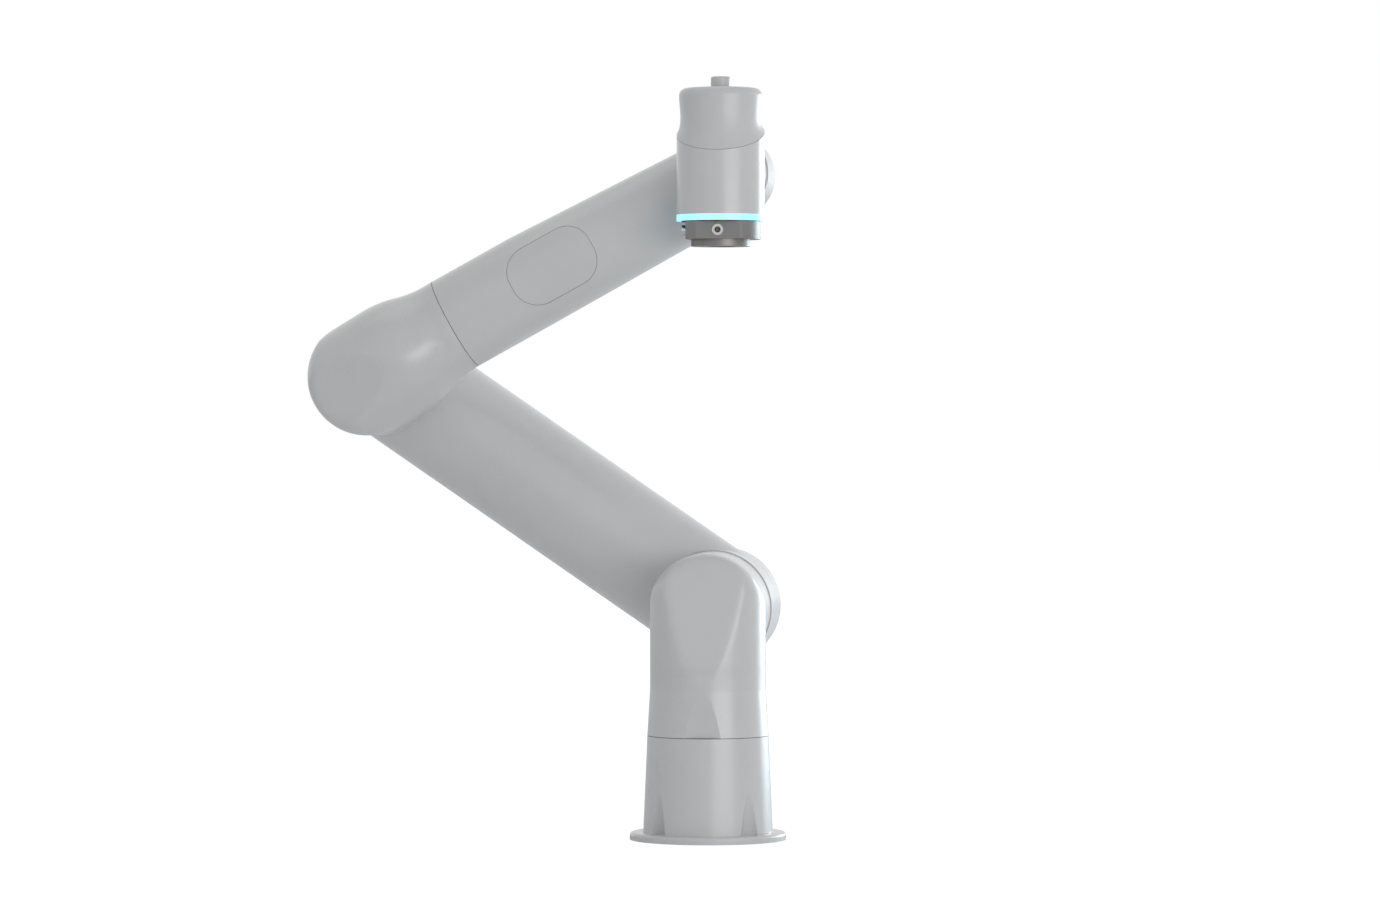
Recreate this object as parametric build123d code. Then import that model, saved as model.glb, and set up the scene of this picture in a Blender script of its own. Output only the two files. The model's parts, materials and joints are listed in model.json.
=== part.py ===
"""A six-axis collaborative robot arm, built as separate castings, covers and drive units.

Lengths are in millimetres and angles in degrees. The origin is the centre of the base's
underside, Z is up, and the arm stands in the XZ plane with its elbow towards -X. Each joint
housing is a tube that turns through a right angle into its joint, with a flattened crown.
"""

import os
from math import atan, cos, degrees, radians, sin, tan

from build123d import *

os.makedirs("parts", exist_ok=True)

# Arm layout
shoulder_height = 248.0
upper_arm_length = 450.0
upper_arm_rise = 34.5
forearm_length = 450.0
forearm_rise = 29.0
forearm_axis_lift = 4.5
upper_arm_plane = 128.0
wrist_plane = 99.0

# Fits and gaps
joint_gap = 0.6
seam_gap = 0.4
drive_gap = 0.3
slide_gap = 0.35
wall = 6.0
bulkhead = 8.0
cable_hole_diameter = 36.0
cut_overrun = 1.0

# Base
flange_diameter = 170.0
flange_thickness = 8.0
foot_diameter = 141.0
base_top_diameter = 132.0
base_height = 112.4
foot_fillet = 3.0
base_bolt_edge = 9.0
base_bolt_hole = 9.0
base_bolts = 4
scallop_diameter = 27.0
scallop_height = 46.0
scallop_top_diameter = 15.0
base_bore = 114.0
floor_ledge = 4.0
rear_pad_width = 62.0
rear_pad_low = 20.0
rear_pad_high = 84.0
rear_pad_reach = 73.0
rear_panel_thickness = 3.0
rear_panel_margin = 5.0
floor_plate_thickness = 4.0
connector_diameter = 30.0
connector_reach = 12.0
connector_bore = 22.0
connector_rise = 8.0
ground_screw_diameter = 8.0

# Turret
turret_head_diameter = 126.0
turret_taper_length = 50.0
turret_joint_reach = 63.0
turret_crown_start = 74.0
turret_crown_tilt = 9.6
crown_rim = 9.0
knuckle_depth = 25.0
turret_neck_bore = 80.0
turret_bore_start = 64.0

# Upper arm
upper_arm_diameter = 129.0
rear_boss_reach = 68.0
boss_rim = 8.0
rear_cap_diameter = 96.0
rear_cap_thickness = 4.0
rear_cap_chamfer = 1.0
cap_ledge = 5.0

# Elbow
elbow_head_diameter = 129.0
elbow_neck_diameter = 105.0
elbow_neck_length = 110.0
elbow_neck_start = 30.0
elbow_collar = 5.0
elbow_crown_start = 28.0
elbow_crown_tilt = 12.0

# Forearm
forearm_end_diameter = 94.0
forearm_straight = 205.0
forearm_face = 48.0
cover_length = 98.0
cover_width = 66.0
cover_corner = 28.0
cover_distance = 238.0
cover_thickness = 3.0
cover_ledge = 5.0
forearm_boss_reach = 49.0
end_cap_diameter = 72.0

# Wrist
wrist_diameter = 94.0
neck_diameter = 90.0
ring_top_drop = 46.9
ring_height = 6.6
ring_wall = 4.5
seam_rise = 39.5
seam_tilt = 22.0
cap_height = 88.0
cap_diameter = 89.0
waist_diameter = 87.0
waist_rise = 66.0
lip_diameter = 88.6
lip_rise = 7.0
lip_tilt = 17.0
ring_play = 0.2
cap_shoulder = 8.5
cap_top_wall = 8.0
button_recess = 4.0
button_diameter = 21.0
button_height = 12.5
button_travel = 2.5
button_stem = 9.0
button_stem_reach = 6.0
button_stop = 0.5
button_edge = 2.0
switch_width = 30.0
switch_depth = 14.0
switch_height = 9.0

# Tool end
tool_body_height = 19.0
tool_body_diameter = 85.0
tool_flat = 35.4
tool_flange_diameter = 63.0
tool_flange_height = 7.5
tool_bolt_circle = 50.0
tool_bolt_core = 5.0
tool_bolts = 4
tool_pilot_bore = 31.5
tool_pilot_depth = 6.0
socket_diameter = 12.0
socket_bore = 6.5
socket_front_reach = 1.5
socket_side_reach = 6.0
socket_depth = 10.0
socket_recess = 2.0
tool_dowel_hole = 6.0

# Drive units: a frameless motor and a closed strain-wave gear behind each output flange
shoulder_drive = 112.0
forearm_roll_drive = 90.0
wrist_bend_drive = 78.0
tool_drive = 74.0
pocket_clearance = 2.0
output_flange_thickness = 8.0
output_flange_share = 0.9
gear_thickness = 24.0
motor_share = 0.78
motor_shelf = 6.0
stator_length = 22.0
stator_wall = 11.0
air_gap = 0.5
board_thickness = 2.0
board_share = 0.62

base_bolt_circle = flange_diameter - 2 * base_bolt_edge
upper_arm_angle = radians(upper_arm_rise)
forearm_angle = radians(forearm_rise)
upper_arm_direction = Vector(-cos(upper_arm_angle), 0, sin(upper_arm_angle))
forearm_direction = Vector(cos(forearm_angle), 0, sin(forearm_angle))
forearm_lift = Vector(-sin(forearm_angle), 0, cos(forearm_angle)) * forearm_axis_lift
front = Vector(0, -1, 0)
rear = Vector(0, 1, 0)

shoulder_point = Vector(0, 0, shoulder_height)
elbow_point = shoulder_point + upper_arm_direction * upper_arm_length
wrist_point = elbow_point + forearm_direction * forearm_length
tool_point = wrist_point + front * wrist_plane

upper_arm_face = turret_joint_reach + joint_gap
upper_arm_reach = upper_arm_plane - upper_arm_face
forearm_start = elbow_neck_length + joint_gap
neck_reach = wrist_plane - forearm_face - joint_gap
ring_bottom_drop = ring_top_drop + ring_height
drive_depth = output_flange_thickness + drive_gap + gear_thickness


def link_frame(origin, link, joint):
    """A local frame whose Z runs along a link and whose Y runs along its joint's axis."""
    return Location(Plane(origin=origin, x_dir=joint.cross(link), z_dir=link))


def drive_frame(origin, output):
    """A local frame on a drive housing's open face, with Z towards the piece that it turns."""
    return Location(Plane(origin=origin, z_dir=output))


turret_frame = link_frame(shoulder_point, Vector(0, 0, -1), rear)
upper_arm_frame = link_frame(shoulder_point + rear * upper_arm_plane, upper_arm_direction, front)
elbow_frame = link_frame(elbow_point, forearm_direction, rear)
wrist_frame = Location(tool_point)

drives = {
    "1": (shoulder_drive, drive_frame((0, 0, base_height), Vector(0, 0, 1))),
    "2": (shoulder_drive, drive_frame(shoulder_point + rear * upper_arm_face, front)),
    "3": (shoulder_drive, drive_frame(elbow_point + rear * upper_arm_face, front)),
    "4": (
        forearm_roll_drive,
        drive_frame(elbow_point + forearm_lift + forearm_direction * forearm_start, -forearm_direction),
    ),
    "5": (wrist_bend_drive, drive_frame(wrist_point + front * forearm_face, front)),
    "6": (tool_drive, drive_frame(tool_point - Vector(0, 0, ring_bottom_drop), Vector(0, 0, -1))),
}


def part(name, *solids):
    """Writes one piece, or a group of alike pieces, to its own file."""
    shape = solids[0] if len(solids) == 1 else Compound(children=list(solids))
    shape.label = name
    export_step(shape, f"parts/{name}.step")


def turned(*points):
    """A solid turned about Z from an outline of (radius, height) points."""
    return revolve(Plane.XZ * make_face(Polyline(*points, close=True)), Axis.Z)


def disc(diameter, low, high, bore=0.0):
    """A round plate between two heights, with an optional bore."""
    plate = Pos(0, 0, low) * extrude(Circle(diameter / 2), high - low)
    if bore:
        plate -= Pos(0, 0, low) * extrude(Circle(bore / 2), high - low)
    return plate


def along_joint(solid):
    """Turns a solid built along Z so that it lies along the local joint axis Y."""
    return Rot(-90, 0, 0) * solid


def rounded_boss(diameter, rear_reach, front_reach):
    """A joint's round housing along Y, with a rounded rim at its rear end."""
    boss = along_joint(disc(diameter, -rear_reach, front_reach))
    rim = boss.edges().filter_by(GeomType.CIRCLE).sort_by(Axis.Y)[0]
    return fillet(rim, boss_rim)


def knuckle(diameter):
    """The rounded outer corner where a tube turns back into its joint."""
    radius = diameter / 2
    segment = Circle(radius) & Pos(0, -knuckle_depth - radius) * Rectangle(2 * radius, 2 * radius)
    corner = Axis((0, -knuckle_depth, -knuckle_depth), (1, 0, 0))
    return revolve(Pos(0, 0, -knuckle_depth) * segment, corner, 90)


def crowned(tube, head_diameter, rear_limit, crown_start, crown_tilt):
    """Trims a tube to its joint head's round outline, rounds the corner and flattens its front."""
    radius = head_diameter / 2
    outline = Circle(radius) + Pos(0, 2 * radius) * Rectangle(4 * radius, 4 * radius)
    reach = radius + rear_limit
    body = tube & (Pos(0, rear_limit, 0) * extrude(Plane.XZ * outline, amount=reach))
    corner_centre = -knuckle_depth - radius
    body -= Pos(0, corner_centre, corner_centre) * Box(4 * radius, 2 * radius, 2 * radius)
    body += knuckle(head_diameter)
    lean = radians(crown_tilt)
    depth = radius - crown_start * tan(lean)
    crown = Plane(origin=(0, -depth, 0), z_dir=(0, -cos(lean), -sin(lean)))
    body = split(body, bisect_by=crown, keep=Keep.BOTTOM)
    flats = body.faces().filter_by(GeomType.PLANE)
    crown_face = flats.sort_by(lambda flat: flat.normal_at().dot(crown.z_dir))[-1]
    return fillet(crown_face.edges(), crown_rim)


def drive_pocket(joint, rear_bore, rear_depth):
    """The stepped bore that a drive unit drops into, with its shelf between gear and motor."""
    diameter, place = drives[joint]
    shelf = drive_depth + motor_shelf
    pocket = disc(diameter + pocket_clearance, -drive_depth, joint_gap)
    pocket += disc(motor_share * diameter + pocket_clearance, -shelf, 0)
    pocket += disc(rear_bore, -rear_depth, -shelf)
    return place * pocket


def stator(joint):
    """The motor's wound ring, seated against the gear's rear face."""
    diameter, place = drives[joint]
    outer = motor_share * diameter
    return place * disc(outer, -drive_depth - stator_length, -drive_depth, outer - 2 * stator_wall)


def rotor(joint):
    """The motor's magnet hub, which spins inside the stator."""
    diameter, place = drives[joint]
    hub = motor_share * diameter - 2 * stator_wall - 2 * air_gap
    return place * disc(hub, drive_gap - drive_depth - stator_length, -drive_gap - drive_depth)


def gear(joint):
    """The closed strain-wave gear on its shelf."""
    diameter, place = drives[joint]
    return place * disc(diameter, -drive_depth, gear_thickness - drive_depth)


def board(joint):
    """The square encoder and brake board across the rear of the stator."""
    diameter, place = drives[joint]
    side = board_share * diameter
    low = -drive_depth - stator_length - board_thickness
    return place * Pos(0, 0, low + board_thickness / 2) * Box(side, side, board_thickness)


def output_flange(joint):
    """The turning flange on the gear, bolted flat to the piece that the joint moves."""
    diameter, place = drives[joint]
    return place * disc(output_flange_share * diameter, -output_flange_thickness, joint_gap)


def bolt_places():
    """The base bolts, set between the front and side faces."""
    return [Rot(0, 0, 45) * place for place in PolarLocations(base_bolt_circle / 2, base_bolts)]


def rear_pad_box(margin, depth):
    """A box behind the base column, set in from the pad's edges and running in from its face."""
    width = rear_pad_width - 2 * margin
    height = rear_pad_high - rear_pad_low - 2 * margin
    centre = (rear_pad_high + rear_pad_low) / 2
    return Pos(0, rear_pad_reach - depth / 2, centre) * Box(width, depth, height)


def base_housing():
    """The bolted foot: flange, tapered column, tool scallops, rear pad and drive pocket."""
    foot, top = foot_diameter / 2, base_top_diameter / 2
    column = turned((0, 0), (foot, 0), (foot, flange_thickness), (top, base_height), (0, base_height))
    flange = disc(flange_diameter, 0, flange_thickness)
    lip = flange.edges().filter_by(GeomType.CIRCLE).sort_by(Axis.Z)[-1]
    body = column + fillet(lip, foot_fillet)
    scallop = turned(
        (0, flange_thickness),
        (scallop_diameter / 2, flange_thickness),
        (scallop_top_diameter / 2, flange_thickness + scallop_height),
        (0, flange_thickness + scallop_height),
    )
    for place in bolt_places():
        body -= place * scallop
        body -= place * disc(base_bolt_hole, 0, flange_thickness)
    body += rear_pad_box(0, rear_pad_reach)
    body -= drive_pocket("1", base_bore, base_height - floor_plate_thickness)
    body -= disc(base_bore + 2 * floor_ledge, 0, floor_plate_thickness)
    body -= rear_pad_box(2 * rear_panel_margin, rear_pad_reach)
    body -= rear_pad_box(rear_panel_margin, rear_panel_thickness)
    return body


def base_floor_plate():
    """The round plate that closes the base from below."""
    return disc(base_bore + 2 * floor_ledge - 2 * seam_gap, 0, floor_plate_thickness)


def rear_panel():
    """The plate in the rear pad that carries the cable socket and the earth screw."""
    margin = rear_panel_margin + seam_gap
    plate = rear_pad_box(margin, rear_panel_thickness)
    return plate - socket_place() * Cylinder(connector_bore / 2, 4 * rear_panel_thickness)


def socket_place():
    """Where the cable socket's axis crosses the rear panel's face."""
    height = (rear_pad_low + rear_pad_high) / 2 + connector_rise
    return Pos(0, rear_pad_reach, height) * Rot(-90, 0, 0)


def base_connector():
    """The round cable socket on the rear panel."""
    shell = disc(connector_diameter, 0, connector_reach, connector_bore)
    insert = disc(connector_bore, -rear_panel_thickness, connector_reach / 2)
    return socket_place() * (shell + insert)


def ground_screw():
    """The earth screw beside the cable socket."""
    height = rear_pad_low + rear_panel_margin + ground_screw_diameter
    head = disc(ground_screw_diameter, 0, ground_screw_diameter / 2)
    return Pos(rear_pad_width / 4, rear_pad_reach, height) * along_joint(head)


def turret_housing():
    """The shoulder casting: an upright tube that turns back into the second joint."""
    radius = turret_head_diameter / 2
    length = shoulder_height - base_height - joint_gap
    tube = turned(
        (0, -radius - cut_overrun),
        (radius, -radius - cut_overrun),
        (radius, length - turret_taper_length),
        (base_top_diameter / 2, length),
        (0, length),
    )
    body = crowned(tube, turret_head_diameter, base_top_diameter / 2, turret_crown_start, turret_crown_tilt)
    body += along_joint(disc(turret_head_diameter, 0, turret_joint_reach))
    bore = turret_head_diameter - 2 * wall
    body -= disc(bore, turret_bore_start, length - bulkhead)
    body -= disc(turret_neck_bore, 0, turret_bore_start)
    body -= along_joint(disc(bore - wall, -2 * wall, turret_joint_reach - bulkhead))
    body -= disc(cable_hole_diameter, 0, length)
    body -= along_joint(disc(cable_hole_diameter, 0, turret_joint_reach))
    return turret_frame * body


def upper_arm_housing():
    """The straight upper arm with a drive housing across each end."""
    ends = [Pos(0, 0, 0), Pos(0, 0, upper_arm_length)]
    body = disc(upper_arm_diameter, 0, upper_arm_length)
    body += [place * rounded_boss(upper_arm_diameter, rear_boss_reach, upper_arm_reach) for place in ends]
    inner = upper_arm_diameter - 2 * wall
    body -= disc(inner, inner / 2, upper_arm_length - inner / 2)
    seat = rear_boss_reach - rear_cap_thickness
    lip = seat - cap_ledge
    for place in ends:
        body -= place * along_joint(disc(rear_cap_diameter, -rear_boss_reach, -seat))
        body -= place * along_joint(disc(rear_cap_diameter - 2 * cap_ledge, -rear_boss_reach, -lip))
    body = upper_arm_frame * body
    rear_depth = upper_arm_reach + lip
    return body - drive_pocket("2", inner - wall, rear_depth) - drive_pocket("3", inner - wall, rear_depth)


def rear_cap(diameter, place, reach):
    """A flat cap that closes a drive housing from behind, set into its recess."""
    cap = along_joint(disc(diameter - 2 * seam_gap, -reach, rear_cap_thickness - reach))
    rim = cap.edges().filter_by(GeomType.CIRCLE).sort_by(Axis.Y)[0]
    return place * chamfer(rim, rear_cap_chamfer)


def elbow_tube():
    """The elbow's round tube, which narrows in an S-curve from the head to the forearm's width."""
    head, neck = elbow_head_diameter / 2, elbow_neck_diameter / 2
    end = elbow_neck_length - elbow_collar
    top = elbow_neck_length + elbow_collar
    middle = ((head + neck) / 2, (elbow_neck_start + end) / 2)
    leaving = TangentArc((head, elbow_neck_start), middle, tangent=(0, 1))
    arriving = TangentArc(middle, (neck, end), tangent=leaving % 1)
    low = -head - cut_overrun
    rest = Polyline((neck, end), (neck, top), (0, top), (0, low), (head, low), (head, elbow_neck_start))
    return revolve(Plane.XZ * make_face([leaving, arriving, rest]), Axis.Z)


def elbow_housing():
    """The elbow casting: a round head that narrows into the forearm's turning joint."""
    body = crowned(elbow_tube(), elbow_head_diameter, turret_joint_reach, elbow_crown_start, elbow_crown_tilt)
    body += along_joint(disc(elbow_head_diameter, 0, turret_joint_reach))
    lean = degrees(atan(forearm_axis_lift / elbow_neck_length))
    body = split(Rot(0, -lean, 0) * body, bisect_by=Plane((0, 0, elbow_neck_length)), keep=Keep.BOTTOM)
    bore = elbow_neck_diameter - 2 * wall
    lift = Pos(-forearm_axis_lift, 0, 0)
    body -= lift * disc(bore, 0, elbow_neck_length - bulkhead)
    body -= along_joint(disc(elbow_head_diameter - 3 * wall, -2 * wall, turret_joint_reach - bulkhead))
    body -= lift * disc(cable_hole_diameter, 0, elbow_neck_length)
    body -= along_joint(disc(cable_hole_diameter, 0, turret_joint_reach))
    return elbow_frame * body


def forearm_tube(inset):
    """The forearm's outside, drawn in by an inset: a straight tube that tapers to the wrist."""
    lift = Pos(-forearm_axis_lift, 0, 0)
    start = Pos(0, 0, forearm_straight) * lift * Circle(elbow_neck_diameter / 2 - inset)
    end = Pos(0, 0, forearm_length) * Circle(forearm_end_diameter / 2 - inset)
    return lift * disc(elbow_neck_diameter - 2 * inset, forearm_start, forearm_straight) + loft([start, end])


def cover_block(margin):
    """A rounded block through the forearm's front, set in from the cover's edge by a margin."""
    face = RectangleRounded(cover_width - 2 * margin, cover_length - 2 * margin, cover_corner - margin)
    place = Pos(-forearm_axis_lift, 0, cover_distance)
    return place * extrude(Plane.XZ * face, amount=elbow_neck_diameter)


def forearm_housing():
    """The tapered forearm with the roll drive in its root and the bend drive across its end."""
    end = Pos(0, 0, forearm_length) * Rot(0, 0, 180)
    body = forearm_tube(0) + end * rounded_boss(forearm_end_diameter, forearm_boss_reach, forearm_face)
    body -= (forearm_tube(0) - forearm_tube(cover_thickness)) & cover_block(-seam_gap)
    body -= cover_block(cover_ledge)
    lift = Pos(-forearm_axis_lift, 0, 0)
    bore = elbow_neck_diameter / 2 - wall - wall / 2
    middle = Pos(0, 0, forearm_straight) * lift * Circle(bore)
    finish = Pos(0, 0, forearm_length - forearm_end_diameter / 2) * Circle(forearm_end_diameter / 2 - wall)
    body -= loft([middle, finish])
    seat = forearm_boss_reach - rear_cap_thickness
    lip = seat - cap_ledge
    body -= end * along_joint(disc(end_cap_diameter, -forearm_boss_reach, -seat))
    body -= end * along_joint(disc(end_cap_diameter - 2 * cap_ledge, -forearm_boss_reach, -lip))
    body = elbow_frame * body
    body -= drive_pocket("4", 2 * bore, forearm_straight - forearm_start)
    return body - drive_pocket("5", forearm_end_diameter - 2 * wall, forearm_face + lip)


def forearm_cover():
    """The oval service cover, which lies flush in the front of the forearm."""
    skin = forearm_tube(0) - forearm_tube(cover_thickness)
    return elbow_frame * (skin & cover_block(0))


def seam_plane(rise, tilt):
    """A plane across the wrist that is higher at the rear than at the front."""
    lean = radians(tilt)
    return Plane(origin=(0, 0, rise), x_dir=(1, 0, 0), z_dir=(0, -sin(lean), cos(lean)))


def seam_ring(diameter, rise, tilt):
    """The outline of a round wrist on a tilted plane."""
    return seam_plane(rise, tilt) * Ellipse(diameter / 2, diameter / 2 / cos(radians(tilt)))


def wrist_housing():
    """The upright wrist body with its neck to the forearm and the tool drive below."""
    top = cap_height
    body = disc(wrist_diameter, -ring_top_drop, top)
    body = split(body, bisect_by=seam_plane(seam_rise, seam_tilt), keep=Keep.BOTTOM)
    body += along_joint(disc(neck_diameter, 0, neck_reach))
    body += disc(wrist_diameter - 2 * ring_wall, -ring_bottom_drop, -ring_top_drop)
    body -= along_joint(disc(cable_hole_diameter, 0, neck_reach))
    body = wrist_frame * body
    return body - drive_pocket("6", wrist_diameter - 2 * wall, ring_bottom_drop + cap_height)


def light_ring():
    """The translucent status ring around the foot of the wrist."""
    bore = wrist_diameter - 2 * ring_wall + ring_play
    return wrist_frame * disc(wrist_diameter, -ring_bottom_drop, -ring_top_drop, bore)


def wrist_cap():
    """The removable cap: a lip on the tilted seam that draws in to a waist and a rounded top."""
    shoulder = cap_height - cap_shoulder
    lip = loft(
        [
            seam_ring(wrist_diameter, seam_rise + seam_gap, seam_tilt),
            seam_ring(lip_diameter, seam_rise + lip_rise, lip_tilt),
            Pos(0, 0, waist_rise) * Circle(waist_diameter / 2),
            Pos(0, 0, shoulder) * Circle(cap_diameter / 2),
        ]
    )
    top = disc(cap_diameter, shoulder, cap_height)
    edge = top.edges().filter_by(GeomType.CIRCLE).sort_by(Axis.Z)[-1]
    body = lip + fillet(edge, cap_shoulder - seam_gap)
    body -= disc(waist_diameter - 2 * wall, 0, cap_height - cap_top_wall)
    body -= disc(button_diameter + 2 * slide_gap, cap_height - button_recess, cap_height)
    body -= disc(button_stem + 2 * slide_gap, 0, cap_height)
    return wrist_frame * body


def guide_button():
    """The round hand-guiding button on top of the wrist, with its stem."""
    low = cap_height - button_recess + button_travel + button_stop
    high = cap_height + button_height
    head = disc(button_diameter, low, high)
    edge = head.edges().filter_by(GeomType.CIRCLE).sort_by(Axis.Z)[-1]
    stem_low = cap_height - cap_top_wall - button_stem_reach
    return wrist_frame * (fillet(edge, button_edge) + disc(button_stem, stem_low, low))


def button_spring():
    """The soft return ring under the button's head."""
    low = cap_height - button_recess
    high = low + button_travel + button_stop
    return wrist_frame * disc(button_diameter - 2 * seam_gap, low, high, button_diameter - 2 * wall)


def button_switch():
    """The switch under the button, hung from the cap on two posts."""
    top = cap_height - cap_top_wall
    stem_low = top - button_stem_reach
    contact = stem_low - button_travel - button_stop
    middle = (contact + top) / 2 - switch_height / 2
    block = Pos(0, 0, middle) * Box(switch_width, switch_depth, top - contact + switch_height)
    opening = Pos(0, 0, (contact + top) / 2) * Box(button_stem + 2 * wall, switch_depth, top - contact)
    return wrist_frame * (block - opening)


def tool_socket(reach):
    """A round tool socket: a ring with a closed black centre, along +Z."""
    ring = disc(socket_diameter, -socket_depth, reach, socket_bore)
    return ring + disc(socket_bore, -socket_depth, reach - socket_recess)


def socket_places():
    """The tool body's front and side sockets, each with how far it stands out."""
    height = -ring_bottom_drop - joint_gap - tool_body_height / 2
    front_face = Pos(0, -tool_flat, height) * Rot(90, 0, 0)
    side_face = Pos(-tool_flat, 0, height) * Rot(0, -90, 0)
    return [(front_face, socket_front_reach), (side_face, socket_side_reach)]


def tool_body():
    """The turning tool body, with a flat at the front and at the side for its sockets."""
    high = -ring_bottom_drop - joint_gap
    body = disc(tool_body_diameter, high - tool_body_height, high)
    middle = high - tool_body_height / 2
    radius = tool_body_diameter / 2
    body -= Pos(0, -tool_flat - radius, middle) * Box(tool_body_diameter, tool_body_diameter, tool_body_height)
    body -= Pos(-tool_flat - radius, 0, middle) * Box(tool_body_diameter, tool_body_diameter, tool_body_height)
    for place, reach in socket_places():
        body -= place * disc(socket_diameter, -socket_depth, reach)
    return wrist_frame * body


def tool_flange():
    """The round tool flange: four threaded holes, a dowel hole and a centring bore."""
    high = -ring_bottom_drop - joint_gap - tool_body_height
    low = high - tool_flange_height
    body = disc(tool_flange_diameter, low, high)
    body -= disc(tool_pilot_bore, low, low + tool_pilot_depth)
    for place in PolarLocations(tool_bolt_circle / 2, tool_bolts):
        body -= Rot(0, 0, 45) * place * disc(tool_bolt_core, low, high)
    body -= Pos(tool_bolt_circle / 2, 0, 0) * disc(tool_dowel_hole, low, low + tool_pilot_depth)
    return wrist_frame * body


castings = {
    "base_housing": base_housing,
    "base_floor_plate": base_floor_plate,
    "rear_panel": rear_panel,
    "base_connector": base_connector,
    "ground_screw": ground_screw,
    "turret_housing": turret_housing,
    "upper_arm_housing": upper_arm_housing,
    "elbow_housing": elbow_housing,
    "forearm_housing": forearm_housing,
    "forearm_cover": forearm_cover,
    "wrist_housing": wrist_housing,
    "light_ring": light_ring,
    "wrist_cap": wrist_cap,
    "guide_button": guide_button,
    "button_spring": button_spring,
    "button_switch": button_switch,
    "tool_body": tool_body,
    "tool_flange": tool_flange,
}
for name, build in castings.items():
    part(name, build())

elbow_end = upper_arm_frame * Pos(0, 0, upper_arm_length)
forearm_end = elbow_frame * Pos(0, 0, forearm_length) * Rot(0, 0, 180)
part("shoulder_rear_cap", rear_cap(rear_cap_diameter, upper_arm_frame, rear_boss_reach))
part("elbow_rear_cap", rear_cap(rear_cap_diameter, elbow_end, rear_boss_reach))
part("forearm_end_cap", rear_cap(end_cap_diameter, forearm_end, forearm_boss_reach))

for (place, reach), side in zip(socket_places(), ("front", "side")):
    part(f"{side}_tool_socket", wrist_frame * place * tool_socket(reach))

carriers = {"base": "1", "upper_arm": "23", "forearm": "45", "wrist": "6"}
for carrier, joints in carriers.items():
    ending = "s" if len(joints) > 1 else ""
    part(f"{carrier}_gear{ending}", *[gear(joint) for joint in joints])
    part(f"{carrier}_stator{ending}", *[stator(joint) for joint in joints])
    part(f"{carrier}_encoder_board{ending}", *[board(joint) for joint in joints])
for joint in drives:
    part(f"joint_{joint}_rotor", rotor(joint))
    part(f"joint_{joint}_output_flange", output_flange(joint))
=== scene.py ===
"""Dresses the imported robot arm: painted castings, seals, sockets, lit ring and a plain studio."""

import json
from math import cos, pi, radians, sin, tan

import bmesh
import bpy
from bpy.props import FloatProperty, FloatVectorProperty, IntProperty, PointerProperty
from mathutils import Euler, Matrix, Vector


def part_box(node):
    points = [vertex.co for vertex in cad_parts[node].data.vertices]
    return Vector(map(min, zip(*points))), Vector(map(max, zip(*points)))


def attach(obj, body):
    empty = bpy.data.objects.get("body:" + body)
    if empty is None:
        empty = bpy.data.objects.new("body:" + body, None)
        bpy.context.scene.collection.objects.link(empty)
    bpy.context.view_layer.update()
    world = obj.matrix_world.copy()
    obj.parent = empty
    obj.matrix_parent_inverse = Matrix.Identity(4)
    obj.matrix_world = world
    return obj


bl_info = {
    "name": "Robot Arm Dressing",
    "version": (1, 0, 0),
    "blender": (4, 5, 0),
    "location": "3D View > Sidebar > Robot Arm",
    "description": "Finishes, seals and small parts for a jointed robot arm",
    "category": "Object",
}

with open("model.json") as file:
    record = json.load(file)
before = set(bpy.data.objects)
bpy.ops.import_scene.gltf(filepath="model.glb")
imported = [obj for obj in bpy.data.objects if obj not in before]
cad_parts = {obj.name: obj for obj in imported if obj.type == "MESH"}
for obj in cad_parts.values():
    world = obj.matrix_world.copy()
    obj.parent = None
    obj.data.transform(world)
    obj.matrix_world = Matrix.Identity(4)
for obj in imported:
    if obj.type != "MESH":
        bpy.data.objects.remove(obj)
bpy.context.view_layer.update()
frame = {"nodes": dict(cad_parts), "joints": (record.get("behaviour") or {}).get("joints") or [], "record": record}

MM = 0.001
JOINTS = {joint["name"]: joint for joint in frame["joints"]}
FRONT = Vector((0, -1, 0))
REAR = Vector((0, 1, 0))
LEFT = Vector((-1, 0, 0))
UP = Vector((0, 0, 1))
DOWN = UP * -1

# Middle of the crown on each joint casting
CROWNS = {
    "turret_housing": Vector((0, -0.055, 0.235)),
    "elbow_housing": Vector((-0.352, -0.055, 0.515)),
}

# Mix node sockets for each kind of data: first value, second value, result
MIX_SOCKETS = {"FLOAT": (2, 3, 0), "VECTOR": (4, 5, 1), "RGBA": (6, 7, 2)}

# Sprayed paint and moulded plastic
GRAINS_PER_WAVE = 4.5
LIGHTER_PATCH = 1.035
DARKER_PATCH = 0.955
DUST_AMOUNT = 0.10
DUST_COLOUR = (0.55, 0.53, 0.50)
COAT_ROUGHNESS = 0.25
PAINT_IOR = 1.48

# How much darker the dark grain of a metal is, and lighter the light grain of a rubber
DARKER_METAL = 0.82
LIGHTER_RUBBER = 1.5

# Modelling: a face looks along an axis when its normal has at least this much of it
FACING = 0.9
SIDEWAYS_FACING = 0.3
SMOOTH_ANGLE = radians(35)
MERGE_DISTANCE = 0.01 * MM
RING_SIDES = 128
INSERT_SIDES = 64
PIN_SIDES = 20

# Half the gap of a turning seam, and the outer radius, outward direction and body of each seal.
# The forearm's seal takes its direction from its sloping joint axis.
HALF_SEAM = 0.3 * MM
SEAM_SEALS = {
    "base_turn": (66.0 * MM, UP, "base"),
    "shoulder_swing": (63.0 * MM, FRONT, "upper_arm"),
    "elbow_swing": (64.5 * MM, FRONT, "upper_arm"),
    "forearm_roll": (52.5 * MM, None, "forearm"),
    "wrist_bend": (45.0 * MM, FRONT, "forearm"),
    "tool_turn": (42.5 * MM, DOWN, "wrist"),
}

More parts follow.
